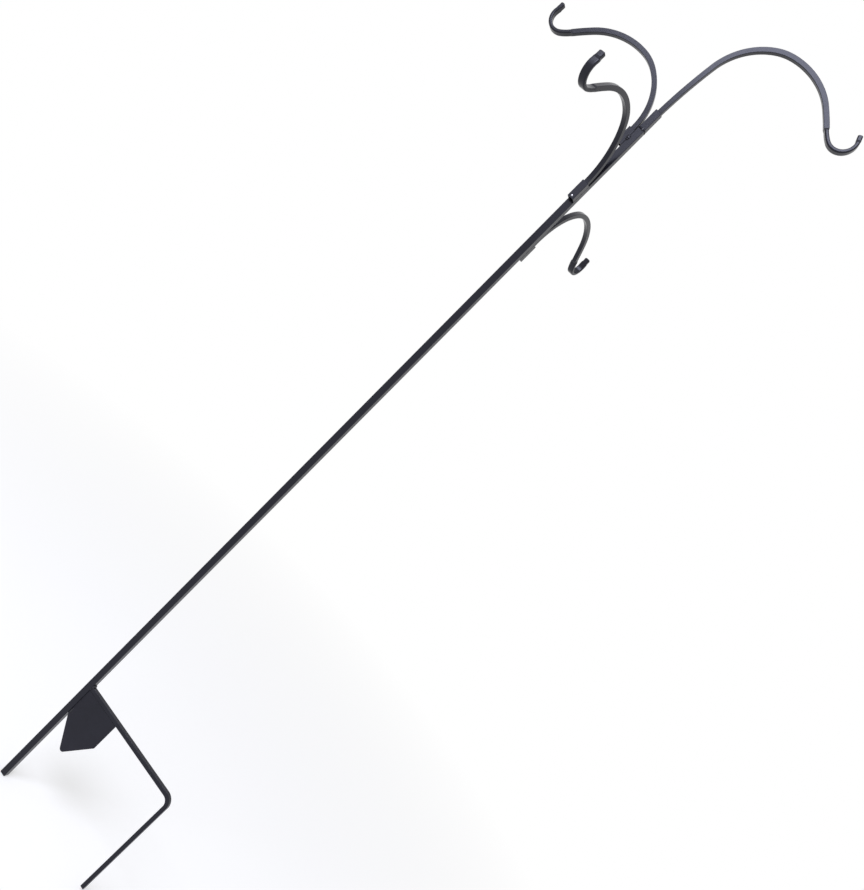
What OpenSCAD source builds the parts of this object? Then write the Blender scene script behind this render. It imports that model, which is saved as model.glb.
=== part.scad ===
// Hanging plant stand: a tall square pole with a forked, stamped foot and four forged
// crook arms, each dropped into a short square socket, for hanging planters outdoors.
// Millimetres, +Z up. The origin is the centre of the pole's lower end. The foot bar
// and the top arm point along +X, the left arm along -X, the front arm along -Y and
// the back arm along +Y.

/* [Pole] */
// Side of the square pole
pole_side = 16; // [15:0.5:18]
// Height of the pole, from its lower end to the foot of the top socket
pole_h = 2075; // [1800:1:2300]
// Rounding of the pole's and the sockets' long edges
pole_edge_r = 1; // [0.8:0.1:2]

/* [Sockets] */
// Wall of the square socket tube
socket_wall = 1.5; // [1.2:0.1:1.8]
// Length of the top socket
top_socket_length = 52; // [46:1:56]
// Length of the left socket
left_socket_length = 40; // [39:1:50]
// Length of the front socket
front_socket_length = 45; // [40:1:55]
// Length of the back socket
back_socket_length = 44; // [40:1:55]
// How far the left socket's rim lies below the top socket's rim
left_drop = 60; // [56:0.5:80]
// How far the front socket's rim lies below the top socket's rim
front_drop = 207.5; // [180:0.5:240]
// How far the back socket's rim lies below the top socket's rim
back_drop = 369; // [330:0.5:400]
// Bevel on the sockets' rims
rim_bevel = 0.8; // [0.3:0.1:1]

/* [Arms] */
// Side of the square bar that the arms are forged from
arm_side = 11.2; // [10.5:0.1:11.2]
// Rounding of the bar's long edges
arm_edge_r = 1; // [0.6:0.1:1.5]
// How deep each side arm sits in its socket
tail_depth = 32; // [25:1:36]
// How far above its socket's rim the left arm begins to bend
left_stand = 4.5; // [-3:0.5:8]
// The same for the front arm, which begins to bend just below the rim
front_stand = -2; // [-3:0.5:8]
// The same for the back arm
back_stand = 5; // [-3:0.5:8]
// Play between the top arm's lower end and the pole's end, on which it stands
seat_gap = 0.3; // [0.2:0.1:1]
// Length of the top arm's stem, between the socket and the crook
stem_length = 122; // [80:1:150]
// How far the top arm's stem curves outward on the way up, in degrees
stem_turn = 6.8; // [1:0.1:7]
// Outward lean of the top arm in its socket, in degrees
top_tail_lean = 1.9; // [0:0.1:1.9]
// Outward lean of the top arm's crook, in degrees
top_lean = 2.1; // [0:0.1:3]
// The same for the left arm
left_lean = -0.4; // [-2:0.1:0]
// The same for the front arm
front_lean = -1.1; // [-2:0.1:0]
// The same for the back arm
back_lean = -0.6; // [-2:0.1:0]
// How far the play in the sockets lets each arm turn about the upright, in degrees
top_turn = 0.9; // [-1:0.1:1]
// The same for the left arm
left_turn = -0.7; // [-3:0.1:3]
// The same for the front arm
front_turn = -5.2; // [-6:0.1:6]
// The same for the back arm
back_turn = -3.2; // [-4:0.1:4]

/* [Crook] */
// Length of the crook's rise out of the socket
rise_length = 141.5; // [130:0.5:160]
// Heading at the end of the rise, in degrees from the upright
rise_heading = 60.2; // [55:0.1:65]
// Length of the tighter shoulder after the rise
shoulder_length = 37.5; // [30:0.5:45]
// Turn of the shoulder, in degrees
shoulder_turn = 20.6; // [15:0.1:25]
// Length over the top of the crook
crown_length = 93; // [80:1:110]
// Turn over the top, in degrees
crown_turn = 33.6; // [28:0.1:38]
// Length of the outer bend
outer_length = 36.5; // [30:0.5:45]
// Turn of the outer bend, in degrees
outer_turn = 15; // [10:0.1:20]
// Length of the nearly straight fall to the forged hook
fall_length = 44; // [35:0.5:50]
// Turn of the fall, in degrees
fall_turn = 4.5; // [2:0.5:8]

/* [Hook] */
// Thickness of the bar where it is forged flat for the hook
hook_t = 8.2; // [7:0.2:9]
// Width of the flattened hook
hook_w = 16.5; // [13:0.5:18]
// Rounding of the flattened hook's edges
hook_edge_r = 2.8; // [1:0.2:3.2]
// Length of the bevels between the bar and the flattened hook
forge_bevel = 5; // [2:0.5:6]
// Length of the hook's neck
neck_length = 23.5; // [18:0.5:30]
// Turn of the neck, in degrees
neck_turn = 14; // [8:1:18]
// Radius of the hook's bowl, on the bar's centre line
bowl_r = 28.8; // [24:0.1:34]
// Turn of the bowl, in degrees
bowl_turn = 133; // [125:1:150]
// Length of the short bend before the tip
flick_length = 3; // [3:1:10]
// How far that bend turns the tip back outward, in degrees
flick_turn = 10; // [-15:1:20]
// The same for the top arm, whose tip bends further inward
top_flick_turn = -13; // [-15:1:20]
// Length of the tip, which is left thicker and narrower than the hook
tip_length = 11.5; // [6:0.5:20]
// Thickness of the tip
tip_t = 10; // [8:0.5:12]
// Width of the tip
tip_w = 13.5; // [10:0.5:15]
// Bevel round the tip's end
tip_bevel = 2.4; // [1:0.1:3]
// Bevel on the ends of the pole and the prong
end_bevel = 1.2; // [0.5:0.1:2]

/* [Foot] */
// Side of the square bar of the foot
foot_side = 10.6; // [9.5:0.1:12]
// Rounding of its long edges
foot_edge_r = 1; // [0.6:0.1:1.5]
// Height of the foot bar's axis above the pole's lower end
step_h = 317.3; // [280:0.1:360]
// Distance from the pole's axis to the prong's axis
prong_x = 331.5; // [250:0.5:360]
// Centre-line radius of the bend between the foot bar and the prong
foot_bend_r = 22; // [16:1:40]
// How far the prong ends above the pole's lower end
prong_rise = 11.4; // [0:0.2:40]
// Width of the anchor plate, from the pole's face
plate_w = 108; // [80:1:130]
// Depth of the plate's square part
plate_side_h = 77; // [60:1:110]
// Depth of the plate at its point
plate_depth = 157; // [125:1:180]
// Distance of the point from the pole's face
plate_point_x = 54; // [40:1:70]
// Rounding of the point
plate_point_r = 8; // [4:1:14]
// Thickness of the plate
plate_t = 3; // [2:0.5:5]

/* [Welds] */
// How far the weld beads stand out
bead_h = 1.4; // [0.8:0.1:2]
// Length of the seam welds beside the sockets
seam_length = 14; // [10:1:24]
// Radius of the heavier beads, at the left socket and round the top socket's foot
heavy_r = 3.8; // [3:0.1:5]
// Diameter of the round tack on the front socket's front face
tack_d = 4; // [3:0.5:5]
// Height of the tack above the socket's lower end
tack_rise = 5.5; // [4:0.5:12]
// Leg of the fillet weld on top of the foot bar
foot_fillet = 5; // [3:0.5:7]

/* [Hidden] */
$fn = 48;
cut = 1;
black_coat = [0.2, 0.2, 0.21];
weld_coat = [0.26, 0.26, 0.28];

half = pole_side / 2;
socket_bore = pole_side - 2 * socket_wall;
top_rim = pole_h + top_socket_length;
left_rim = top_rim - left_drop;
front_rim = top_rim - front_drop;
back_rim = top_rim - back_drop;
plate_top = step_h - foot_side / 2;
// The plate's front face is flush with the foot bar's.
plate_y = plate_t - foot_side / 2;

// Sections are [size in the plane of the bend, size across it, edge radius].
arm_bar = [arm_side, arm_side, arm_edge_r];
hook_strip = [hook_t, hook_w, hook_edge_r];
tip_bar = [tip_t, tip_w, hook_edge_r];
tip_end = [tip_t - 2 * tip_bevel, tip_w - 2 * tip_bevel, hook_edge_r - tip_bevel];
foot_bar = [foot_side, foot_side, foot_edge_r];

// --- sections and bends -------------------------------------------------------

module rounded_rectangle(size_x, size_y, r) {
    square([size_x - 2 * r, size_y], center = true);
    square([size_x, size_y - 2 * r], center = true);
    for (x = [-1, 1], y = [-1, 1])
        translate([x * (size_x / 2 - r), y * (size_y / 2 - r)]) circle(r);
}

module section(bar) rounded_rectangle(bar[0], bar[1], bar[2]);

// Neighbouring steps of a forged bar lap by a little, and every other one is a hair
// smaller, so that each joint is clean.
lap = 0.3;
lap_inset = 0.01;

function inset(bar, by) = [bar[0] - 2 * by, bar[1] - 2 * by, bar[2]];

// A straight length of bar along +Z, with more of it before and after.
module straight(length, bar, before, after)
    translate([0, 0, -before]) linear_extrude(length + before + after) section(bar);

// An arc of bar that starts along +Z and bends toward +X, or toward -X for a
// negative turn.
module bend(length, turn, bar, before, after) {
    r = length / abs(turn) * 180 / PI;
    degrees = abs(turn) / length;
    side = sign(turn);
    translate([side * r, 0, 0])
        rotate([0, 0, side > 0 ? 180 : 0])
            rotate([90, 0, 0])
                rotate([0, 0, -before * degrees])
                    rotate_extrude(angle = (length + before + after) * degrees, $fn = 360)
                        translate([r, 0]) section(bar);
}

// A straight bevel along +Z from one section to another, with bevelled corners that
// follow the sections' rounded ones.
module taper(length, from, to) {
    intersection() {
        four_sides(length, from[0], from[1], to[0], to[1]);
        rotate([0, 0, 45])
            four_sides(length, across_corners(from), across_corners(from),
                across_corners(to), across_corners(to));
    }
}

// The width of a section between two opposite rounded corners.
function across_corners(bar) = (bar[0] + bar[1]) / sqrt(2) - 2 * (sqrt(2) - 1) * bar[2];

module four_sides(length, from_x, from_y, to_x, to_y) {
    intersection() {
        rotate([90, 0, 0])
            linear_extrude(2 * max(from_y, to_y), center = true) trapezium(length, from_x, to_x);
        rotate([90, 0, 90])
            linear_extrude(2 * max(from_x, to_x), center = true) trapezium(length, from_y, to_y);
    }
}

module trapezium(length, low, high)
    polygon([[-low / 2, 0], [low / 2, 0], [high / 2, length], [-high / 2, length]]);

// Draws the steps of a forged bar one after the other. Each step is
// [length, turn, section, next section]; a next section makes the step a bevel.
module forge(steps, i = 0) {
    if (i < len(steps)) {
        length = steps[i][0];
        turn = steps[i][1];
        laps = (len(steps) - 1 - i) % 2;
        bar = inset(steps[i][2], laps * lap_inset);
        before = i == 0 ? 0 : laps * lap;
        after = laps * lap;
        r = turn == 0 ? 0 : length / turn * 180 / PI;
        if (len(steps[i]) > 3) taper(length, steps[i][2], steps[i][3]);
        else if (turn == 0) straight(length, bar, before, after);
        else bend(length, turn, bar, before, after);
        translate(turn == 0 ? [0, 0, length] : [r * (1 - cos(turn)), 0, r * sin(turn)])
            rotate([0, turn, 0]) forge(steps, i + 1);
    }
}

// --- pole and sockets -----------------------------------------------------------

module pole() {
    color(black_coat) {
        difference() {
            linear_extrude(pole_h) rounded_rectangle(pole_side, pole_side, pole_edge_r);
            end_cut(pole_side);
        }
    }
}

// What a file takes off the lower end of a square bar at z = 0.
module end_cut(side) {
    for (a = [0, 90, 180, 270])
        rotate([0, 0, a])
            translate([side / 2, 0, 0])
                rotate([0, 45, 0])
                    cube([end_bevel * sqrt(2), 2 * side, end_bevel * sqrt(2)], center = true);
}

// A socket tube with its lower end at z = 0 and its rim bevelled.
module socket(length) {
    rim = pole_side - 2 * rim_bevel;
    difference() {
        intersection() {
            linear_extrude(length) rounded_rectangle(pole_side, pole_side, pole_edge_r);
            for_both_sides() socket_side(length, rim);
        }
        translate([0, 0, -cut])
            linear_extrude(length + 2 * cut) square(socket_bore, center = true);
    }
}

module for_both_sides() {
    intersection() {
        rotate([90, 0, 0]) linear_extrude(2 * pole_side, center = true) children();
        rotate([90, 0, 90]) linear_extrude(2 * pole_side, center = true) children();
    }
}

module socket_side(length, rim) {
    polygon([[-half - cut, 0], [half + cut, 0], [half + cut, length - rim_bevel - cut],
        [rim / 2, length], [-rim / 2, length], [-half - cut, length - rim_bevel - cut]]);
}

// Places a side socket's things: +X points away from the pole, z = 0 at its foot.
module beside_pole(angle, foot) rotate([0, 0, angle]) translate([pole_side, 0, foot]) children();

module top_socket() color(black_coat) translate([0, 0, pole_h]) socket(top_socket_length);

module left_socket() {
    color(black_coat) beside_pole(180, left_rim - left_socket_length) socket(left_socket_length);
}

module front_socket() {
    color(black_coat) beside_pole(-90, front_rim - front_socket_length) socket(front_socket_length);
}

module back_socket() {
    color(black_coat) beside_pole(90, back_rim - back_socket_length) socket(back_socket_length);
}

// --- arms -----------------------------------------------------------------------

// The forged hook at the outer end of every arm.
function hook_steps(flick) = [
    [forge_bevel, 0, arm_bar, hook_strip],
    [neck_length, -neck_turn, hook_strip],
    [bowl_r * bowl_turn * PI / 180, -bowl_turn, hook_strip],
    [flick_length, flick, hook_strip],
    [forge_bevel, 0, hook_strip, tip_bar],
    [tip_length - tip_bevel, 0, tip_bar],
    [tip_bevel, 0, tip_bar, tip_end]
];

// A crook that leans off the upright keeps its radius, so it starts this much later
// on a bar that heads a little further out than the lean.
function crook_delay(start, lean) = rise_length * (start - lean) / rise_heading;

// The crook and its hook, on a bar that already heads outward by the start angle.
function crook_steps(start, lean, flick) = concat([
    [rise_length - crook_delay(start, lean), rise_heading + lean - start, arm_bar],
    [shoulder_length, shoulder_turn, arm_bar],
    [crown_length, crown_turn, arm_bar],
    [outer_length, outer_turn, arm_bar],
    [fall_length, fall_turn, arm_bar]
], hook_steps(flick));

// The top arm stands on the pole's end, a little off the upright, and its stem curves
// gently outward.
module top_arm() {
    start = top_tail_lean + stem_turn;
    stem = stem_length + crook_delay(start, top_lean);
    tail = top_socket_length - seat_gap - arm_side / 2 * tan(top_tail_lean);
    color(black_coat)
        translate([0, 0, top_rim])
            rotate([0, 0, top_turn])
                translate([tail / 2 * tan(top_tail_lean), 0, 0])
                    rotate([0, top_tail_lean, 0])
                        translate([0, 0, -tail])
                            forge(concat([[tail, 0, arm_bar], [stem, stem_turn, arm_bar]],
                                crook_steps(start, top_lean, top_flick_turn)));
}

// A side arm stands in its socket and bends away from the pole near the rim.
module side_arm(angle, turn, rim, stand, lean) {
    straight_part = tail_depth + stand + crook_delay(0, lean);
    color(black_coat)
        beside_pole(angle, rim - tail_depth)
            rotate([0, 0, turn])
                forge(concat([[straight_part, 0, arm_bar]], crook_steps(0, lean, flick_turn)));
}

module left_arm() side_arm(180, left_turn, left_rim, left_stand, left_lean);

module front_arm() side_arm(-90, front_turn, front_rim, front_stand, front_lean);

module back_arm() side_arm(90, back_turn, back_rim, back_stand, back_lean);

// --- foot -----------------------------------------------------------------------

// The foot bar runs out from the pole's right face and turns down into the prong. Its
// first few millimetres lie under the weld.
module step_bar() {
    welded = foot_fillet + 1;
    run = prong_x - half - foot_bend_r - welded;
    drop = step_h - foot_bend_r - prong_rise;
    color(black_coat)
        translate([half, 0, step_h])
            rotate([0, 90, 0])
                forge([
                    [welded, 0, foot_bar],
                    [run, 0, foot_bar],
                    [foot_bend_r * PI / 2, 90, foot_bar],
                    [drop - end_bevel, 0, foot_bar],
                    [end_bevel, 0, foot_bar, [foot_side - 2 * end_bevel, foot_side - 2 * end_bevel, 0]]
                ]);
}

module anchor_plate() {
    color(black_coat)
        translate([half, plate_y, plate_top])
            rotate([90, 0, 0]) linear_extrude(plate_t) plate_outline();
}

// Square at the top and pointed below, with the point rounded off.
module plate_outline() {
    point = [plate_point_x, -plate_depth];
    inner = [0, -plate_side_h];
    outer = [plate_w, -plate_side_h];
    to_inner = (inner - point) / norm(inner - point);
    to_outer = (outer - point) / norm(outer - point);
    bisector = (to_inner + to_outer) / norm(to_inner + to_outer);
    half_angle = acos(to_inner * to_outer) / 2;
    tangent = plate_point_r / tan(half_angle);
    polygon([[0, 0], inner, point + tangent * to_inner, point + tangent * to_outer, outer,
        [plate_w, 0]]);
    translate(point + bisector * plate_point_r / sin(half_angle)) circle(plate_point_r);
}

// --- welds ----------------------------------------------------------------------

// A bead of weld along Z, thickest in its middle.
module bead(length, r) {
    bow = (length * length / 4 + r * r) / (2 * r);
    rotate_extrude()
        intersection() {
            translate([r - bow, 0]) circle(bow, $fn = 240);
            translate([0, -length]) square([2 * r, 2 * length]);
        }
}

// The ring of weld that joins the top socket to the pole's end.
module top_socket_weld() {
    r = heavy_r;
    color(weld_coat)
        translate([0, 0, pole_h])
            difference() {
                for (a = [0, 90, 180, 270])
                    rotate([0, 0, a])
                        translate([half - r + bead_h / 2, 0, 0])
                            rotate([90, 0, 0]) cylinder(h = pole_side + bead_h, r = r, center = true);
                linear_extrude(4 * r, center = true)
                    rounded_rectangle(pole_side, pole_side, pole_edge_r);
            }
}

// Two beads, one in each groove between a side socket and the pole.
module socket_weld(angle, height, r) {
    color(weld_coat)
        rotate([0, 0, angle])
            for (side = [-1, 1])
                intersection() {
                    difference() {
                        translate([half, side * (half + bead_h - r), height]) bead(seam_length, r);
                        for (x = [0, pole_side])
                            translate([x, 0, height - seam_length])
                                linear_extrude(2 * seam_length)
                                    rounded_rectangle(pole_side, pole_side, pole_edge_r);
                    }
                    translate([half, side * (half + bead_h), height])
                        cube([pole_side, 2 * bead_h + pole_edge_r, 2 * seam_length], center = true);
                }
}

module left_socket_weld() socket_weld(180, left_rim - left_socket_length / 2, heavy_r);

// The front socket also has a round tack on its front face, near its lower end.
module front_socket_weld() {
    socket_weld(-90, front_rim - front_socket_length / 2, 1.5 * bead_h);
    color(weld_coat)
        beside_pole(-90, front_rim - front_socket_length + tack_rise)
            intersection() {
                translate([half - 3 * tack_d / 8, 0, 0]) sphere(5 * tack_d / 8);
                translate([half, -tack_d, -tack_d]) cube(2 * tack_d);
            }
}

module back_socket_weld() socket_weld(90, back_rim - back_socket_length / 2, 1.5 * bead_h);

// The fillet weld on top of the foot bar at the pole, and a small one on each side.
module step_bar_weld() {
    side_leg = half - pole_edge_r - foot_side / 2;
    color(weld_coat)
        translate([half, 0, step_h]) {
            rotate([90, 0, 0])
                linear_extrude(foot_side - 2 * foot_edge_r, center = true) fillet(foot_fillet);
            for (side = [0, 1])
                mirror([0, side, 0])
                    linear_extrude(foot_side - 2 * foot_edge_r, center = true) fillet(side_leg);
        }
}

// The concave triangle between the pole's face at x = 0 and the edge of the foot bar.
module fillet(leg) {
    translate([0, foot_side / 2])
        difference() {
            square(leg);
            translate([leg, leg]) circle(leg);
        }
}

// Beads between the pole's face and the plate, before and behind it.
module plate_pole_weld() {
    height = plate_top - 0.88 * plate_side_h;
    color(weld_coat)
        difference() {
            for (y = [plate_y - plate_t, plate_y])
                translate([half, y, height]) bead(seam_length + 2, 1.6 * bead_h);
            translate([0, 0, height - pole_side])
                linear_extrude(2 * pole_side) rounded_rectangle(pole_side, pole_side, pole_edge_r);
            translate([half, plate_y - plate_t, height - pole_side])
                cube([pole_side, plate_t, 2 * pole_side]);
        }
}

// Two tacks behind the plate, along the underside of the foot bar.
module plate_bar_weld() {
    color(weld_coat)
        for (x = [plate_w / 3, 3 * plate_w / 4])
            difference() {
                translate([half + x, plate_y, plate_top])
                    rotate([0, 90, 0]) bead(seam_length, 1.4 * bead_h);
                translate([half + x - seam_length, -foot_side / 2, plate_top])
                    cube([2 * seam_length, foot_side, foot_side]);
                translate([half + x - seam_length, plate_y - plate_t, plate_top - foot_side])
                    cube([2 * seam_length, plate_t, 2 * foot_side]);
            }
}

pole();
top_socket();
left_socket();
front_socket();
back_socket();
top_socket_weld();
left_socket_weld();
front_socket_weld();
back_socket_weld();
top_arm();
left_arm();
front_arm();
back_arm();
step_bar();
anchor_plate();
step_bar_weld();
plate_pole_weld();
plate_bar_weld();
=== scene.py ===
"""Looks of the hanging plant stand: its black coat, its weld beads, the studio and the camera."""

import logging
import math
from dataclasses import dataclass, field
from enum import Enum
from typing import ClassVar

import bmesh
import bpy
from mathutils import Matrix, Vector


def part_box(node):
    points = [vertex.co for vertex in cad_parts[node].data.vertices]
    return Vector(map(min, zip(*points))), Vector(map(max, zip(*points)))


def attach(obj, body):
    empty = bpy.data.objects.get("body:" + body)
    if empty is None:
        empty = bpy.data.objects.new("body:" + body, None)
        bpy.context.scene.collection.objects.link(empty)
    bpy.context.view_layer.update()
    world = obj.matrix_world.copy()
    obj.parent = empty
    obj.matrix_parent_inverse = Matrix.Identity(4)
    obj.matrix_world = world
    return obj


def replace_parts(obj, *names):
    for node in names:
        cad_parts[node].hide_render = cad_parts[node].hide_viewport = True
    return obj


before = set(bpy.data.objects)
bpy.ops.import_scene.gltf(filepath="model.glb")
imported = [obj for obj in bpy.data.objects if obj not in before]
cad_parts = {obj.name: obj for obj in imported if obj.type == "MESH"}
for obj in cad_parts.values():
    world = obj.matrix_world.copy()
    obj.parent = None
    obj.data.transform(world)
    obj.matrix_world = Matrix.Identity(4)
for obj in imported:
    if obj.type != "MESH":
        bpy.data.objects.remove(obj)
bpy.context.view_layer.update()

log = logging.getLogger("plant_stand")

Colour = tuple[float, float, float]
Point = tuple[float, float, float]
Socket = bpy.types.NodeSocket

COOL_TINT: Colour = (0.86, 0.88, 1.0)


def opaque(colour: Colour) -> tuple[float, float, float, float]:
    """Adds a full alpha to a colour."""
    return (*colour, 1.0)


def grey(level: float) -> tuple[float, float, float, float]:
    """Makes an opaque grey of a level from 0, black, to 1, white."""
    return (level, level, level, 1.0)


def put_in_scene(name: str, data: bpy.types.ID) -> bpy.types.Object:
    """Makes an object and links it to the scene.

    Args:
        name: The object's name.
        data: Its mesh, lamp or camera.

    Returns:
        The new object.
    """
    thing = bpy.data.objects.new(name, data)
    bpy.context.scene.collection.objects.link(thing)
    return thing


# --- shader building ----------------------------------------------------------


@dataclass(frozen=True)
class Noise:
    """One layer of noise: how many features a metre holds, its octaves and their contrast."""

    scale: float
    detail: float
    roughness: float = 0.5
    low: float = 0.0
    high: float = 1.0


@dataclass
class Wiring:
    """Places and wires the nodes of one node tree."""

    tree: bpy.types.NodeTree

    @classmethod
    def fresh(cls, owner: bpy.types.Material | bpy.types.World) -> "Wiring":
        """Empties the node tree of a material or world.

        Args:
            owner: The material or world.

        Returns:
            The wiring of its empty tree.
        """
        owner.use_nodes = True
        owner.node_tree.nodes.clear()
        return cls(owner.node_tree)

    def add(self, kind: str, **settings: object) -> bpy.types.Node:
        """Adds a node.

        Args:
            kind: Blender's name for the node type, without the "ShaderNode" that starts it.
            settings: Properties of the node.

        Returns:
            The new node.
        """
        node = self.tree.nodes.new("ShaderNode" + kind)
        for name, value in settings.items():
            setattr(node, name, value)
        return node

    def add_group_ends(self) -> tuple[bpy.types.Node, bpy.types.Node]:
        """Adds the input and output nodes of a group."""
        return (self.tree.nodes.new("NodeGroupInput"), self.tree.nodes.new("NodeGroupOutput"))

    def coordinates(self) -> Socket:
        """Adds the coordinates of the piece that the material is on."""
        return self.add("TexCoord").outputs["Object"]

    def wire(self, source: Socket, target: Socket) -> None:
        """Runs a link from a source socket to a target socket."""
        self.tree.links.new(source, target)

    def feed(self, target: Socket, value: object) -> None:
        """Gives a socket a link or a plain value.

        Args:
            target: The socket that is fed.
            value: Another node's output socket, or a number or colour.
        """
        if isinstance(value, Socket):
            self.wire(value, target)
        else:
            target.default_value = value

    def calc(self, operation: str, first: object, second: object) -> Socket:
        """Adds a Math node.

        Args:
            operation: The operation's name.
            first: Socket or number for the first input.
            second: Socket or number for the second input.

        Returns:
            The node's output socket.
        """
        node = self.add("Math", operation=operation)
        self.feed(node.inputs[0], first)
        self.feed(node.inputs[1], second)
        return node.outputs[0]

    def spread(
        self, value: Socket, low: float, high: float, to_low: float = 0.0, to_high: float = 1.0
    ) -> Socket:
        """Maps a value's range onto another, clamped at both ends.

        Args:
            value: Socket that is mapped.
            low: Value that gives to_low.
            high: Value that gives to_high.
            to_low: Result at low.
            to_high: Result at high.

        Returns:
            The mapped value's socket.
        """
        node = self.add("MapRange", clamp=True)
        self.wire(value, node.inputs["Value"])
        node.inputs["From Min"].default_value = low
        node.inputs["From Max"].default_value = high
        node.inputs["To Min"].default_value = to_low
        node.inputs["To Max"].default_value = to_high
        return node.outputs["Result"]

    def noise(self, place: Socket, layer: Noise, scale: Socket | None = None) -> Socket:
        """Adds a noise texture.

        Args:
            place: Socket with the coordinates.
            layer: The kind of noise.
            scale: Socket that takes the place of the layer's own scale.

        Returns:
            The noise value's socket.
        """
        node = self.add("TexNoise")
        self.wire(place, node.inputs["Vector"])
        self.feed(node.inputs["Scale"], layer.scale if scale is None else scale)
        node.inputs["Detail"].default_value = layer.detail
        node.inputs["Roughness"].default_value = layer.roughness
        return node.outputs["Fac"]

    def patches(self, place: Socket, layer: Noise, scale: Socket | None = None) -> Socket:
        """Adds noise whose values between the layer's low and high are spread over 0 to 1."""
        return self.spread(self.noise(place, layer, scale), layer.low, layer.high)

    def blend(self, amount: Socket, first: object, second: object) -> Socket:
        """Mixes two colours.

        Args:
            amount: Socket with a value from 0, all first, to 1, all second.
            first: Socket or colour.
            second: Socket or colour.

        Returns:
            The mixed colour's socket.
        """
        node = self.add("Mix", data_type="RGBA")
        for socket, value in zip([i for i in node.inputs if i.enabled], (amount, first, second)):
            self.feed(socket, value)
        return next(o for o in node.outputs if o.enabled)


@dataclass
class EffectGroup:
    """A shader node group with named inputs and outputs, which several materials share."""

    title: str
    tree: bpy.types.ShaderNodeTree = field(init=False)
    wiring: Wiring = field(init=False)

    def __post_init__(self) -> None:
        """Starts the group and lets the effect draw itself."""
        self.tree = bpy.data.node_groups.new(self.title, "ShaderNodeTree")
        self.wiring = Wiring(self.tree)
        self.draw()

    def number_in(self, name: str, value: float) -> None:
        """Adds a number input with its default value."""
        socket = self.tree.interface.new_socket(
            name=name, in_out="INPUT", socket_type="NodeSocketFloat"
        )
        socket.default_value = value

    def number_out(self, name: str) -> None:
        """Adds a number output."""
        self.tree.interface.new_socket(name=name, in_out="OUTPUT", socket_type="NodeSocketFloat")

    def draw(self) -> None:
        """Fills the group with nodes."""
        raise NotImplementedError

    def place(self, wiring: Wiring, **values: float) -> bpy.types.Node:
        """Places the group in a material.

        Args:
            wiring: The material's wiring.
            values: Input values by name, with _ for each space.

        Returns:
            The group node.
        """
        node = wiring.add("Group", node_tree=self.tree)
        for name, value in values.items():
            node.inputs[name.replace("_", " ")].default_value = value
        return node


class EdgeWearAndHighlight(EffectGroup):
    """Finds the edges, where a coat is thin and rubbed and a highlight is painted, broken up along
    them.

    The softened direction's likeness to the true one is 1 on a flat face and less at an edge.
    """

    width: ClassVar[float] = 0.0012
    rubs: ClassVar[Noise] = Noise(scale=60.0, detail=4.0, roughness=0.6, low=0.4, high=0.62)
    bevel_samples: ClassVar[int] = 6
    still_flat: ClassVar[float] = 0.985
    full_edge: ClassVar[float] = 0.86

    def draw(self) -> None:
        """Compares the surface's direction with the same surface softened at its edges."""
        self.number_in("Width", self.width)
        self.number_in("Patches", self.rubs.scale)
        self.number_out("Mask")
        w = self.wiring
        given, result = w.add_group_ends()
        soft = w.add("Bevel", samples=self.bevel_samples)
        w.wire(given.outputs["Width"], soft.inputs["Radius"])
        surface = w.add("NewGeometry")
        likeness = w.add("VectorMath", operation="DOT_PRODUCT")
        w.wire(soft.outputs["Normal"], likeness.inputs[0])
        w.wire(surface.outputs["Normal"], likeness.inputs[1])
        # edge mask: rubbed coat and a painted edge highlight, both lighter
        edge = w.spread(likeness.outputs["Value"], self.still_flat, self.full_edge)
        rubbed = w.patches(w.coordinates(), self.rubs, given.outputs["Patches"])
        w.wire(w.calc("MULTIPLY", edge, rubbed), result.inputs["Mask"])


class CoatSkin(EffectGroup):
    """The skin of a sprayed and baked coat: fine peel, slow waves, mottled tone and gloss."""

    peel: ClassVar[Noise] = Noise(scale=900.0, detail=2.0)
    waves: ClassVar[Noise] = Noise(scale=35.0, detail=2.0, roughness=0.4)
    clouds: ClassVar[Noise] = Noise(scale=14.0, detail=5.0, roughness=0.6, low=0.3, high=0.7)
    grain: ClassVar[Noise] = Noise(scale=420.0, detail=3.0, roughness=0.7, low=0.3, high=0.7)
    sheen: ClassVar[Noise] = Noise(scale=90.0, detail=4.0, roughness=0.55, low=0.25, high=0.75)
    peel_share: ClassVar[float] = 0.12
    wave_share: ClassVar[float] = 0.6
    cloud_share: ClassVar[float] = 0.55
    grain_share: ClassVar[float] = 0.45

    def draw(self) -> None:
        """Layers noise of several sizes, each with its own job."""
        self.number_in("Peel", self.peel.scale)
        self.number_in("Waves", self.waves.scale)
        self.number_in("Wave Share", self.wave_share)
        self.number_out("Height")
        self.number_out("Tone")
        self.number_out("Gloss")
        w = self.wiring
        given, result = w.add_group_ends()
        place = w.coordinates()
        peel = w.noise(place, self.peel, given.outputs["Peel"])
        waves = w.noise(place, self.waves, given.outputs["Waves"])
        weighed_peel = w.calc("MULTIPLY", peel, self.peel_share)
        weighed_waves = w.calc("MULTIPLY", waves, given.outputs["Wave Share"])
        w.wire(w.calc("ADD", weighed_peel, weighed_waves), result.inputs["Height"])
        clouds = w.calc("MULTIPLY", w.patches(place, self.clouds), self.cloud_share)
        grain = w.calc("MULTIPLY", w.patches(place, self.grain), self.grain_share)
        w.wire(w.calc("ADD", clouds, grain), result.inputs["Tone"])
        w.wire(w.patches(place, self.sheen), result.inputs["Gloss"])


class HammerMarks(EffectGroup):
    """Shallow overlapping flats that forging leaves on a bar."""

    marks: ClassVar[float] = 70.0
    smoothness: ClassVar[float] = 0.6

    def draw(self) -> None:
        """Rounds the cells of a Voronoi pattern into shallow flats."""
        self.number_in("Marks", self.marks)
        self.number_out("Height")
        w = self.wiring
        given, result = w.add_group_ends()
        cells = w.add("TexVoronoi", feature="SMOOTH_F1")
        w.wire(w.coordinates(), cells.inputs["Vector"])
        w.wire(given.outputs["Marks"], cells.inputs["Scale"])
        cells.inputs["Smoothness"].default_value = self.smoothness
        w.wire(cells.outputs["Distance"], result.inputs["Height"])


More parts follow.
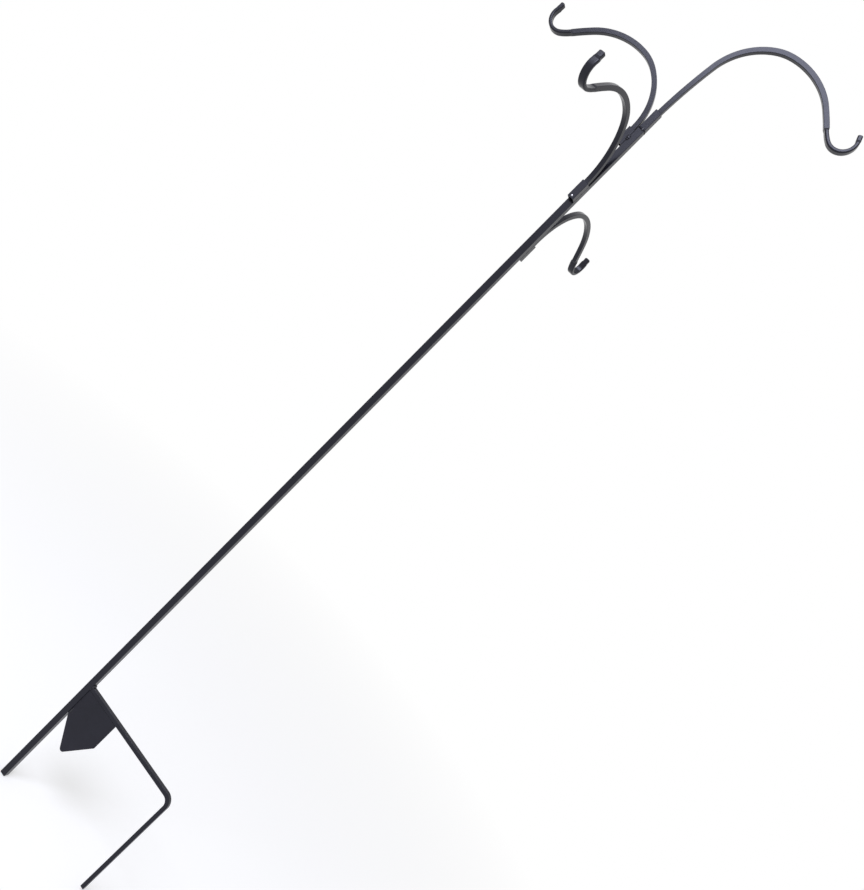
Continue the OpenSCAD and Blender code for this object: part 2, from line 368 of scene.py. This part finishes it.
@dataclass
class Effects:
    """The effect groups, each built once."""

    skin: CoatSkin = field(default_factory=lambda: CoatSkin("coat skin"))
    # the edge group marks rubbed edges and a painted edge highlight
    wear_and_highlight: EdgeWearAndHighlight = field(default_factory=lambda: EdgeWearAndHighlight("edge wear"))
    hammer: HammerMarks = field(default_factory=lambda: HammerMarks("hammer marks"))


# --- finishes -------------------------------------------------------------------


@dataclass(frozen=True)
class CoatFinish:
    """A thin semi-gloss black coat over steel.

    The swings are how far tone and roughness stray to either side. The hammer is the depth of
    the forging marks beside that of the coat's own skin, and 0 leaves them out.
    """

    name: str
    colour: Colour = (0.0092, 0.0090, 0.0140)
    # lighter black at the edges: rubbed coat and a painted edge highlight
    worn_and_lit: Colour = (0.016, 0.016, 0.020)
    tone_swing: float = 0.35
    roughness: float = 0.20
    gloss_swing: float = 0.05
    specular: float = 0.29
    gloss_tint: Colour = COOL_TINT
    peel: float = CoatSkin.peel.scale
    waves: float = CoatSkin.waves.scale
    wave_share: float = CoatSkin.wave_share
    hammer: float = 0.0
    hammer_marks: float = HammerMarks.marks
    bump: float = 0.12
    relief: float = 0.0006
    edge_width: float = EdgeWearAndHighlight.width
    edge_patches: float = EdgeWearAndHighlight.rubs.scale

    def material(self, effects: Effects) -> bpy.types.Material:
        """Builds the material.

        Args:
            effects: The shared effect groups.

        Returns:
            The finished material.
        """
        material = bpy.data.materials.new(self.name)
        w = Wiring.fresh(material)
        paint = w.add("BsdfPrincipled")
        w.wire(paint.outputs[0], w.add("OutputMaterial").inputs["Surface"])
        skin = effects.skin.place(w, Peel=self.peel, Waves=self.waves, Wave_Share=self.wave_share)
        self.colour_in(w, effects, skin, paint)
        smooth, rough = self.roughness - self.gloss_swing, self.roughness + self.gloss_swing
        w.wire(w.spread(skin.outputs["Gloss"], 0, 1, smooth, rough), paint.inputs["Roughness"])
        paint.inputs["Specular IOR Level"].default_value = self.specular
        paint.inputs["Specular Tint"].default_value = opaque(self.gloss_tint)
        self.raise_surface(w, effects, skin, paint)
        return material

    def colour_in(
        self, w: Wiring, effects: Effects, skin: bpy.types.Node, paint: bpy.types.Node
    ) -> None:
        """Gives the paint its mottled black, lighter at edges: rubbed coat and painted highlight.

        Args:
            w: The material's wiring.
            effects: The shared effect groups.
            skin: The coat's skin.
            paint: The shader.
        """
        dark = opaque(tuple(c * (1 - self.tone_swing) for c in self.colour))
        light = opaque(tuple(c * (1 + self.tone_swing) for c in self.colour))
        coat = w.blend(skin.outputs["Tone"], dark, light)
        # lightens the edges: rubbed coat and a painted highlight
        wear_and_highlight = effects.wear_and_highlight.place(w, Width=self.edge_width, Patches=self.edge_patches)
        w.wire(w.blend(wear_and_highlight.outputs["Mask"], coat, opaque(self.worn_and_lit)), paint.inputs["Base Color"])

    def raise_surface(
        self, w: Wiring, effects: Effects, skin: bpy.types.Node, paint: bpy.types.Node
    ) -> None:
        """Gives the paint its relief.

        Args:
            w: The material's wiring.
            effects: The shared effect groups.
            skin: The coat's skin.
            paint: The shader.
        """
        height = skin.outputs["Height"]
        if self.hammer > 0:
            marks = effects.hammer.place(w, Marks=self.hammer_marks)
            dents = w.calc("MULTIPLY", marks.outputs["Height"], self.hammer)
            height = w.calc("ADD", height, dents)
        bump = w.add("Bump")
        bump.inputs["Strength"].default_value = self.bump
        bump.inputs["Distance"].default_value = self.relief
        w.wire(height, bump.inputs["Height"])
        w.wire(bump.outputs["Normal"], paint.inputs["Normal"])


@dataclass(frozen=True)
class BareMetal:
    """Bright weld metal that the coat doesn't cover."""

    name: str = "bare weld metal"
    light: Colour = (0.86, 0.86, 0.90)
    dull: Colour = (0.52, 0.52, 0.56)
    roughness: float = 0.22
    dull_roughness: float = 0.44
    peel: float = 2500.0
    waves: float = 400.0

    def material(self, effects: Effects) -> bpy.types.Material:
        """Builds the material.

        Args:
            effects: The shared effect groups.

        Returns:
            The finished material.
        """
        material = bpy.data.materials.new(self.name)
        w = Wiring.fresh(material)
        metal = w.add("BsdfPrincipled")
        w.wire(metal.outputs[0], w.add("OutputMaterial").inputs["Surface"])
        skin = effects.skin.place(w, Peel=self.peel, Waves=self.waves)
        tone = w.blend(skin.outputs["Tone"], opaque(self.light), opaque(self.dull))
        w.wire(tone, metal.inputs["Base Color"])
        rough = w.spread(skin.outputs["Gloss"], 0, 1, self.roughness, self.dull_roughness)
        w.wire(rough, metal.inputs["Roughness"])
        metal.inputs["Metallic"].default_value = 1.0
        return material


ROLLED_BAR = CoatFinish("black coat on rolled bar")
FORGED_BAR = CoatFinish("black coat on forged bar", hammer=0.2, waves=55.0)
SHEARED_PLATE = CoatFinish(
    "black coat on sheared plate", peel=650.0, tone_swing=0.5, roughness=0.45, wave_share=0.3
)
# lighter black than the bars' coat: a painted highlight on the beads, beside their real gloss
WELD_METAL_WITH_PAINTED_HIGHLIGHT = CoatFinish(
    "black coat on weld metal with painted highlight",
    colour=(0.012, 0.012, 0.015),
    roughness=0.22,
    specular=0.4,
    peel=500.0,
    waves=240.0,
    wave_share=1.0,
    bump=0.4,
    edge_width=0.0006,
)
RIPPLED_WELD = CoatFinish(
    "black coat on rippled weld",
    colour=(0.005, 0.005, 0.008),
    roughness=0.16,
    specular=0.24,
    peel=500.0,
    waves=420.0,
    wave_share=1.0,
    bump=1.0,
    edge_width=0.0006,
)
# darker black than the bars' coat: painted shade on the ring weld, beside its weak gloss
HEAVY_WELD_WITH_PAINTED_SHADE = CoatFinish(
    "black coat on heavy weld with painted shade",
    colour=(0.006, 0.006, 0.009),
    specular=0.07,
    peel=500.0,
    waves=240.0,
    wave_share=1.0,
    bump=0.5,
    edge_width=0.0006,
)


def dress(nodes: tuple[str, ...], material: bpy.types.Material) -> None:
    """Gives CAD nodes their material.

    Args:
        nodes: Names of the nodes.
        material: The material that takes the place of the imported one.
    """
    for name in nodes:
        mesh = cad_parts[name].data
        mesh.materials.clear()
        mesh.materials.append(material)
        log.info("%s: %s", name, material.name)


# --- the stand ------------------------------------------------------------------


@dataclass
class Bars:
    """The pole, its sockets and the foot, all of rolled bar and tube, and the foot's plate."""

    sockets: tuple[str, ...] = ("top_socket", "left_socket", "front_socket", "back_socket")
    bars: tuple[str, ...] = ("pole", "step_bar")
    plate: tuple[str, ...] = ("anchor_plate",)

    def build(self, effects: Effects) -> None:
        """Dresses the bars, the sockets and the plate."""
        dress(self.bars + self.sockets, ROLLED_BAR.material(effects))
        dress(self.plate, SHEARED_PLATE.material(effects))


@dataclass
class Arms:
    """The four forged arms."""

    nodes: tuple[str, ...] = ("top_arm", "left_arm", "front_arm", "back_arm")

    def build(self, effects: Effects) -> None:
        """Dresses the arms."""
        dress(self.nodes, FORGED_BAR.material(effects))


class Run(Enum):
    """The direction that a weld bead runs in, as the turn that lays it there."""

    ALONG_X = Matrix.Rotation(math.radians(90), 4, "Y")
    ALONG_Y = Matrix.Rotation(math.radians(-90), 4, "X")
    UPRIGHT = Matrix.Identity(4)


class Facing(Enum):
    """The horizontal direction that a bead faces, as its place in a vector."""

    X = 0
    Y = 1


@dataclass(frozen=True)
class BeadKind:
    """One way of laying weld, in metres.

    The ripple is the length that each pass of the pool adds, and the dip is how far the bead
    narrows between two passes. Flat is the bead's depth as a share of its width. Proud is how
    far a bead in a groove stands out of it.
    """

    radius: float
    ripple: float = 0.0016
    dip: float = 0.14
    flat: float = 1.0
    proud: float = 0.0

    @property
    def depth(self) -> float:
        """Half of the bead's thickness in the direction that it faces."""
        return self.flat * self.radius


@dataclass
class WeldBead:
    """One run of weld with the ripples that each pass of the pool leaves."""

    centre: Vector
    length: float
    kind: BeadKind
    run: Run
    facing: Facing = Facing.Y
    sides: int = 16
    slices_per_ripple: int = 4
    fewest_ripples: int = 3
    end_girth: float = 0.12
    bluntness: float = 0.6

    @property
    def ripples(self) -> int:
        """How many ripples the bead has."""
        return max(self.fewest_ripples, round(self.length / self.kind.ripple))

    def girth(self, share: float) -> float:
        """Works out how thick the bead is at one place.

        Args:
            share: The place, from 0 at one end to 1 at the other.

        Returns:
            The bead's girth there, as a share of its full radius.
        """
        swell = math.sqrt(max(0.0, 1 - (2 * share - 1) ** 2)) ** self.bluntness
        pool = abs(math.sin(math.pi * share * self.ripples))
        return max(self.end_girth, swell * (1 - self.kind.dip + self.kind.dip * pool))

    def sweep(self, mesh: bmesh.types.BMesh) -> None:
        """Adds the bead to a mesh: a small disc is extruded slice by slice.

        Args:
            mesh: The mesh that gains the bead.
        """
        part = bmesh.new()
        slices = self.slices_per_ripple * self.ripples
        girth = self.girth(0)
        disc = bmesh.ops.create_circle(
            part, cap_ends=True, segments=self.sides, radius=self.kind.radius * girth
        )
        bmesh.ops.translate(part, verts=disc["verts"], vec=(0, 0, -self.length / 2))
        face = part.faces[:][0]
        for step in range(1, slices + 1):
            grown = bmesh.ops.extrude_face_region(part, geom=[face])["geom"]
            verts = [v for v in grown if isinstance(v, bmesh.types.BMVert)]
            next_face = next(f for f in grown if isinstance(f, bmesh.types.BMFace))
            if step > 1 and face.is_valid:
                bmesh.ops.delete(part, geom=[face], context="FACES_ONLY")
            centre = sum((v.co for v in verts), Vector()) / len(verts)
            bmesh.ops.translate(part, verts=verts, vec=(0, 0, self.length / slices))
            next_girth = self.girth(step / slices)
            growth = (next_girth / girth, next_girth / girth, 1)
            bmesh.ops.scale(part, verts=verts, vec=growth, space=Matrix.Translation(-centre))
            girth, face = next_girth, next_face
        self.lay(part)
        scratch = bpy.data.meshes.new("bead")
        part.to_mesh(scratch)
        mesh.from_mesh(scratch)
        bpy.data.meshes.remove(scratch)
        part.free()

    def lay(self, part: bmesh.types.BMesh) -> None:
        """Flattens the finished bead and moves it to its place.

        Args:
            part: The bead, upright and centred on the origin.
        """
        flattening = [1.0, 1.0, 1.0]
        flattening[self.facing.value] = self.kind.flat
        bmesh.ops.scale(part, verts=part.verts, vec=flattening)
        bmesh.ops.recalc_face_normals(part, faces=part.faces)
        place = Matrix.Translation(self.centre) @ self.run.value
        bmesh.ops.transform(part, verts=part.verts, matrix=place)


@dataclass
class Welds:
    """The weld beads, which take the place of the plain ones, and the front socket's tack.

    Sizes are in metres. A rise goes upwards and a drop downwards from the plain bead's place. A
    sink goes into the face that a bead lies on. A gap or a short is what a bead's length lacks,
    and a spare is what it has over, beside the length of what it joins.
    """

    beside_left: BeadKind = BeadKind(radius=0.0046, ripple=0.00414, dip=0.22, flat=0.45, proud=0.0018)
    beside_others: BeadKind = BeadKind(radius=0.0021, ripple=0.00189, dip=0.08, proud=0.0007)
    beside_length: float = 0.014

    ring: BeadKind = BeadKind(radius=0.0035, ripple=0.003, dip=0.12, flat=0.38)
    ring_rise: float = 0.003
    ring_gap: float = 0.0005
    crater: BeadKind = BeadKind(radius=0.003, flat=0.5)
    crater_length: float = 0.0078
    crater_x: float = 0.0022
    crater_sink: float = 0.0007

    over_corner: BeadKind = BeadKind(radius=0.0048, ripple=0.003, dip=0.05)
    over_corner_out: float = 0.0003
    over_corner_rise: float = 0.001
    over_corner_spare: float = 0.003
    beside_corner: BeadKind = BeadKind(radius=0.0021)
    beside_corner_short: float = 0.001

    plate_to_pole: BeadKind = BeadKind(radius=0.0037, ripple=0.0028)
    plate_to_pole_inset: float = 0.003
    plate_to_bar: BeadKind = BeadKind(radius=0.0017)
    plate_to_bar_length: float = 0.017
    plate_to_bar_sink: float = 0.001
    plate_to_bar_drop: float = 0.0008

    tack_radius: float = 0.0021
    tack_rise: float = 0.0055
    tack_flat: float = 0.5
    tack_crown: float = 0.3
    tack_segments: tuple[int, int] = (24, 14)

    def corners(self, node: str) -> tuple[Vector, Vector, Vector]:
        """Finds the lowest corner, the middle and the highest corner of a node's box."""
        low, high = (Vector(c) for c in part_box(node))
        return (low, (low + high) / 2, high)

    def socket_beads(self, socket: str, kind: BeadKind) -> list[WeldBead]:
        """Places the two upright beads in the grooves between a side socket and the pole.

        Args:
            socket: The socket's node.
            kind: The kind of bead.

        Returns:
            The two beads.
        """
        low, middle, high = self.corners(socket)
        out = 0 if abs(middle.x) > abs(middle.y) else 1
        across = 1 - out
        beads = []
        for side in (low, high):
            centre = middle.copy()
            centre[out] /= 2
            inwards = math.copysign(1.0, side[across])
            centre[across] = side[across] - inwards * (kind.depth - kind.proud)
            bead = WeldBead(centre, self.beside_length, kind, Run.UPRIGHT, Facing(across))
            beads.append(bead)
        return beads

    def ring_beads(self, node: str) -> list[WeldBead]:
        """Places the four beads round the top socket's joint.

        Args:
            node: The CAD node that they stand for.

        Returns:
            The four beads.
        """
        low, middle, high = self.corners(node)
        middle.z += self.ring_rise
        size = high - low
        beads = []
        for sign in (-1, 1):
            side = middle + Vector((sign * (size.x / 2 - self.ring.depth), 0, 0))
            length = size.y - self.ring_gap
            beads.append(WeldBead(side, length, self.ring, Run.ALONG_Y, Facing.X))
            side = middle + Vector((0, sign * (size.y / 2 - self.ring.depth), 0))
            length = size.x - self.ring_gap
            beads.append(WeldBead(side, length, self.ring, Run.ALONG_X, Facing.Y))
        return beads

    def end_crater(self, node: str) -> WeldBead:
        """Places the small bead where the welder stopped, on the front of the ring.

        Args:
            node: The CAD node that the ring stands for.

        Returns:
            The bead.
        """
        low, middle, _ = self.corners(node)
        centre = Vector((self.crater_x, low.y + self.crater_sink, middle.z + self.ring_rise))
        return WeldBead(centre, self.crater_length, self.crater, Run.UPRIGHT)

    def plate_pole_beads(self, node: str) -> list[WeldBead]:
        """Places the long bead between the plate and the pole.

        Args:
            node: The CAD node that it stands for.

        Returns:
            The bead, alone in its list.
        """
        low, middle, high = self.corners(node)
        centre = Vector((low.x + self.plate_to_pole_inset, middle.y, middle.z))
        return [WeldBead(centre, high.z - low.z, self.plate_to_pole, Run.UPRIGHT)]

    def plate_bar_beads(self, node: str) -> list[WeldBead]:
        """Places the two short beads behind the plate, under the foot bar.

        Args:
            node: The CAD node that they stand for.

        Returns:
            The two beads.
        """
        low, _, high = self.corners(node)
        length = self.plate_to_bar_length
        y, z = high.y - self.plate_to_bar_sink, high.z - self.plate_to_bar_drop
        return [
            WeldBead(Vector((x, y, z)), length, self.plate_to_bar, Run.ALONG_X)
            for x in (low.x + length / 2, high.x - length / 2)
        ]

    def corner_beads(self, node: str, bar: str) -> list[WeldBead]:
        """Places the heavy bead over the foot bar's corner and the light ones beside the bar.

        Args:
            node: The CAD node that they stand for.
            bar: The foot bar's node.

        Returns:
            The three beads.
        """
        face = self.corners(node)[0].x
        low, _, high = self.corners(bar)
        side, top = high.y - low.y, high.z
        over = Vector((face + self.over_corner_out, 0, top + self.over_corner_rise))
        length = side + self.over_corner_spare
        beads = [WeldBead(over, length, self.over_corner, Run.ALONG_Y)]
        length = side - self.beside_corner_short
        for sign in (-1, 1):
            beside = Vector((face, sign * side / 2, top - side / 2))
            beads.append(WeldBead(beside, length, self.beside_corner, Run.UPRIGHT))
        return beads

    def tack(self, socket: str) -> bmesh.types.BMesh:
        """Makes the round tack on the front of a socket.

        Args:
            socket: The socket's node.

        Returns:
            The tack's mesh.
        """
        low, middle, _ = self.corners(socket)
        mesh = bmesh.new()
        around, up = self.tack_segments
        dome = bmesh.ops.create_uvsphere(
            mesh, u_segments=around, v_segments=up, radius=self.tack_radius
        )["verts"]
        bmesh.ops.scale(mesh, verts=dome, vec=(1, self.tack_flat, 1))
        crown = [v for v in dome if v.co.y < -self.tack_crown * self.tack_radius]
        bmesh.ops.smooth_vert(
            mesh, verts=crown, factor=0.5, use_axis_x=True, use_axis_y=True, use_axis_z=True
        )
        place = Vector((middle.x, low.y, low.z + self.tack_rise))
        bmesh.ops.translate(mesh, verts=dome, vec=place)
        return mesh

    def sweep_all(self, beads: list[WeldBead]) -> bmesh.types.BMesh:
        """Makes one mesh of several beads.

        Args:
            beads: The beads.

        Returns:
            The mesh.
        """
        mesh = bmesh.new()
        for bead in beads:
            bead.sweep(mesh)
        return mesh

    def piece(
        self, name: str, mesh: bmesh.types.BMesh, material: bpy.types.Material
    ) -> bpy.types.Object:
        """Makes a piece of a mesh, which rides on the stand.

        Args:
            name: The piece's name.
            mesh: The mesh, which is freed.
            material: Its finish.

        Returns:
            The new object.
        """
        bmesh.ops.recalc_face_normals(mesh, faces=mesh.faces)
        data = bpy.data.meshes.new(name)
        mesh.to_mesh(data)
        mesh.free()
        data.materials.append(material)
        data.polygons.foreach_set("use_smooth", [True] * len(data.polygons))
        piece = put_in_scene(name, data)
        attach(piece, "stand")
        log.info("%s: %d faces", piece.name, len(data.polygons))
        return piece

    def stand_for(self, node: str, beads: list[WeldBead], material: bpy.types.Material) -> None:
        """Makes one piece of several beads and lets it stand for a CAD node.

        Args:
            node: The CAD node.
            beads: The beads.
            material: Their finish.
        """
        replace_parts(self.piece(node + "_beads", self.sweep_all(beads), material), node)

    def build(self, effects: Effects) -> None:
        """Builds the beads of every weld, the tack and the crater.

        Args:
            effects: The shared effect groups.
        """
        # weld coat whose lighter black is a painted highlight
        plain = WELD_METAL_WITH_PAINTED_HIGHLIGHT.material(effects)
        rippled = RIPPLED_WELD.material(effects)
        # ring weld coat whose darker black is painted shade
        heavy = HEAVY_WELD_WITH_PAINTED_SHADE.material(effects)
        left = self.socket_beads("left_socket", self.beside_left)
        self.stand_for("left_socket_weld", left, rippled)
        for socket in ("front_socket", "back_socket"):
            light = self.socket_beads(socket, self.beside_others)
            self.stand_for(socket + "_weld", light, plain)
        self.stand_for("top_socket_weld", self.ring_beads("top_socket_weld"), heavy)
        self.stand_for("step_bar_weld", self.corner_beads("step_bar_weld", "step_bar"), plain)
        self.stand_for("plate_pole_weld", self.plate_pole_beads("plate_pole_weld"), plain)
        self.stand_for("plate_bar_weld", self.plate_bar_beads("plate_bar_weld"), plain)
        self.piece("front_socket_tack", self.tack("front_socket"), BareMetal().material(effects))
        crater = self.sweep_all([self.end_crater("top_socket_weld")])
        self.piece("top_socket_crater", crater, plain)


# --- studio and camera ------------------------------------------------------------


@dataclass(frozen=True)
class SoftBox:
    """A rectangular lamp."""

    name: str
    place: Point
    aim: Point
    width: float
    height: float
    power: float
    colour: Colour = COOL_TINT

    def build(self) -> None:
        """Hangs the lamp and points it."""
        data = bpy.data.lights.new(self.name, "AREA")
        data.shape = "RECTANGLE"
        data.size = self.width
        data.size_y = self.height
        data.energy = self.power
        data.color = self.colour
        lamp = put_in_scene(self.name, data)
        lamp.location = self.place
        direction = Vector(self.aim) - Vector(self.place)
        lamp.rotation_euler = direction.to_track_quat("-Z", "Y").to_euler()


@dataclass
class Studio:
    """The pale floor, the white surroundings and the lamps.

    The floor keeps the stand's shadow near it, and from near to far it fades to white.
    """

    floor_size: float = 14.0
    floor_tone: float = 0.8
    floor_glow: float = 0.34
    near: float = 0.9
    far: float = 2.6
    fill: float = 0.5
    lamps: tuple[SoftBox, ...] = (
        SoftBox(
            "high front softbox",
            place=(-0.58, -2.54, 4.10),
            aim=(-0.04, 0, 2.2),
            width=2.4,
            height=1.78,
            power=114,
        ),
        SoftBox(
            "low front softbox",
            place=(-0.95, -2.85, 2.82),
            aim=(0.0, 0, 2.1),
            width=2.4,
            height=0.75,
            power=10,
        ),
    )

    def seen_white(self, w: Wiring) -> Socket:
        """Tells the rays that show the background: those of the camera, of gloss and of glass.

        Args:
            w: The wiring of the floor's material or of the world.

        Returns:
            A socket that is 1 for such a ray and 0 for any other.
        """
        path = w.add("LightPath")
        seen = w.calc(
            "MAXIMUM", path.outputs["Is Glossy Ray"], path.outputs["Is Transmission Ray"]
        )
        return w.calc("MAXIMUM", path.outputs["Is Camera Ray"], seen)

    def floor_material(self) -> bpy.types.Material:
        """Builds the floor's matt finish, which glows a little and fades to white.

        Returns:
            The finished material.
        """
        material = bpy.data.materials.new("pale floor")
        w = Wiring.fresh(material)
        matt = w.add("BsdfDiffuse")
        matt.inputs["Color"].default_value = grey(self.floor_tone)
        glow = w.add("Emission")
        w.wire(w.calc("MULTIPLY", self.seen_white(w), self.floor_glow), glow.inputs["Strength"])
        both = w.add("AddShader")
        w.wire(matt.outputs[0], both.inputs[0])
        w.wire(glow.outputs[0], both.inputs[1])
        distance = w.add("VectorMath", operation="LENGTH")
        w.wire(w.coordinates(), distance.inputs[0])
        fade = w.spread(distance.outputs["Value"], self.near, self.far)
        haze = w.add("MixShader")
        w.wire(w.calc("MULTIPLY", fade, self.seen_white(w)), haze.inputs["Fac"])
        w.wire(both.outputs[0], haze.inputs[1])
        w.wire(w.add("Emission").outputs[0], haze.inputs[2])
        w.wire(haze.outputs[0], w.add("OutputMaterial").inputs["Surface"])
        return material

    def build_floor(self) -> None:
        """Lays the floor."""
        mesh = bmesh.new()
        bmesh.ops.create_grid(mesh, x_segments=1, y_segments=1, size=self.floor_size / 2)
        data = bpy.data.meshes.new("floor")
        mesh.to_mesh(data)
        mesh.free()
        data.materials.append(self.floor_material())
        put_in_scene("floor", data)

    def build_surroundings(self) -> None:
        """Makes the world: soft grey fill, and white where it is seen."""
        world = bpy.data.worlds.new("studio")
        bpy.context.scene.world = world
        w = Wiring.fresh(world)
        sky = w.add("Background")
        tone = w.blend(self.seen_white(w), grey(self.fill), grey(1.0))
        w.wire(tone, sky.inputs["Color"])
        w.wire(sky.outputs[0], w.add("OutputWorld").inputs["Surface"])

    def build(self) -> None:
        """Builds the floor, the world and the lamps."""
        self.build_floor()
        self.build_surroundings()
        for lamp in self.lamps:
            lamp.build()
        bpy.context.scene.view_settings.view_transform = "Standard"


@dataclass
class Viewpoint:
    """The camera at the photograph's place, with its right and up in the stand's frame."""

    place: Point = (0.623133, -1.702700, 1.516696)
    right: Point = (0.655771, 0.265508, 0.706732)
    up: Point = (-0.709806, -0.102057, 0.696965)
    focal_pixels: float = 822.2
    long_side: int = 890
    sensor: float = 36.0
    clip_end: float = 100.0

    def build(self) -> None:
        """Makes the camera and sets it as the scene's."""
        data = bpy.data.cameras.new("camera")
        data.sensor_width = self.sensor
        data.lens = self.focal_pixels / self.long_side * self.sensor
        data.clip_end = self.clip_end
        camera = put_in_scene("camera", data)
        right = Vector(self.right).normalized()
        back = right.cross(Vector(self.up)).normalized()
        axes = Matrix((right, back.cross(right), back)).transposed()
        camera.matrix_world = Matrix.Translation(self.place) @ axes.to_4x4()
        bpy.context.scene.camera = camera


def main() -> None:
    """Builds the looks and reports each piece."""
    logging.basicConfig(level=logging.INFO, format="%(name)s: %(message)s")
    Viewpoint().build()
    Studio().build()
    effects = Effects()
    for part in (Bars(), Arms(), Welds()):
        part.build(effects)


if __name__ == "__main__":
    main()
